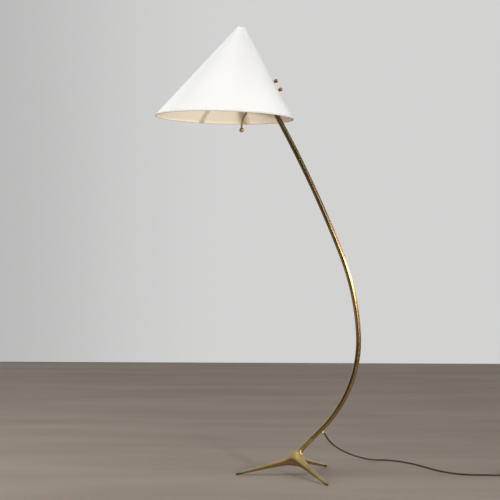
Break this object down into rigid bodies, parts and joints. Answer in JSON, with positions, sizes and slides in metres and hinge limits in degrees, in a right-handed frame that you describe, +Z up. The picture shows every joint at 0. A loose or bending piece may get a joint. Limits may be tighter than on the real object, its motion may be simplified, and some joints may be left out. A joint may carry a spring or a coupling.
{
  "type": "floor lamp",
  "caption": "Floor lamp with a cast brass tripod foot, a bent brass stem and a white oblique cone shade that tilts and turns by a ball-ended handle.",
  "frame": {"origin": "on the floor, under the middle of the lamp's box without its cord, in the plane that halves shade, stem and foot", "axes": "+X to the side that the stem bows out to, +Y to the back as seen in the picture, +Z up"},
  "size_m": [1.3072, 0.559, 1.5699],
  "materials": {
    "cast_brass": "satin",
    "tube_brass": "satin",
    "turned_brass": "satin",
    "steel": "satin",
    "nickel": "satin",
    "shade_white": "satin",
    "ivory_plastic": "satin",
    "cord_brown": "matte",
    "plug_brown": "gloss",
    "dark_rubber": "matte",
    "porcelain": "gloss",
    "opal_glass": "satin"
  },
  "bodies": {
    "stand": {"foot_casting": "cast_brass", "foot_glides": "dark_rubber", "foot_grub_screw": "steel", "stem_tube": "tube_brass", "stem_plug": "turned_brass", "cord_bushing": "ivory_plastic", "stem_lead": "cord_brown", "cord_run": "cord_brown", "cord_coil": "cord_brown", "cord_tie": "dark_rubber", "plug_body": "plug_brown", "plug_pins": "nickel"},
    "swivel": {"swivel_fork": "turned_brass", "swivel_nut": "turned_brass", "pivot_screw": "turned_brass", "pivot_nut": "turned_brass", "friction_washers": "dark_rubber"},
    "head": {"shade_carrier": "turned_brass", "shade_studs": "steel", "stud_washers": "turned_brass", "ball_nuts": "turned_brass", "shade_cone": "shade_white", "shade_rim_ring": "shade_white", "shade_tip_ring": "shade_white", "holder_nipple": "steel", "holder_nut": "steel", "holder_cap": "turned_brass", "holder_shell": "turned_brass", "holder_insert": "porcelain", "screw_shell": "turned_brass", "centre_contact": "turned_brass", "bulb_cap": "nickel", "bulb_glass": "opal_glass", "handle_rod": "turned_brass", "handle_ball": "turned_brass"},
    "key": {"switch_key": "plug_brown"}
  },
  "joints": [
    {"name": "head_swivel", "type": "hinge", "parent": "stand", "child": "swivel", "pos_m": [0.0224, 0, 1.34239], "axis": [-0.4648, 0, 0.8854], "range_deg": [-150, 150]},
    {"name": "shade_tilt", "type": "hinge", "parent": "swivel", "child": "head", "pos_m": [0.0224, 0, 1.34239], "axis": [0, 1, 0], "range_deg": [-35, 8]},
    {"name": "switch_turn", "type": "hinge", "parent": "head", "child": "key", "pos_m": [-0.03452, 0, 1.33941], "axis": [0, -1, 0], "continuous": true}
  ]
}
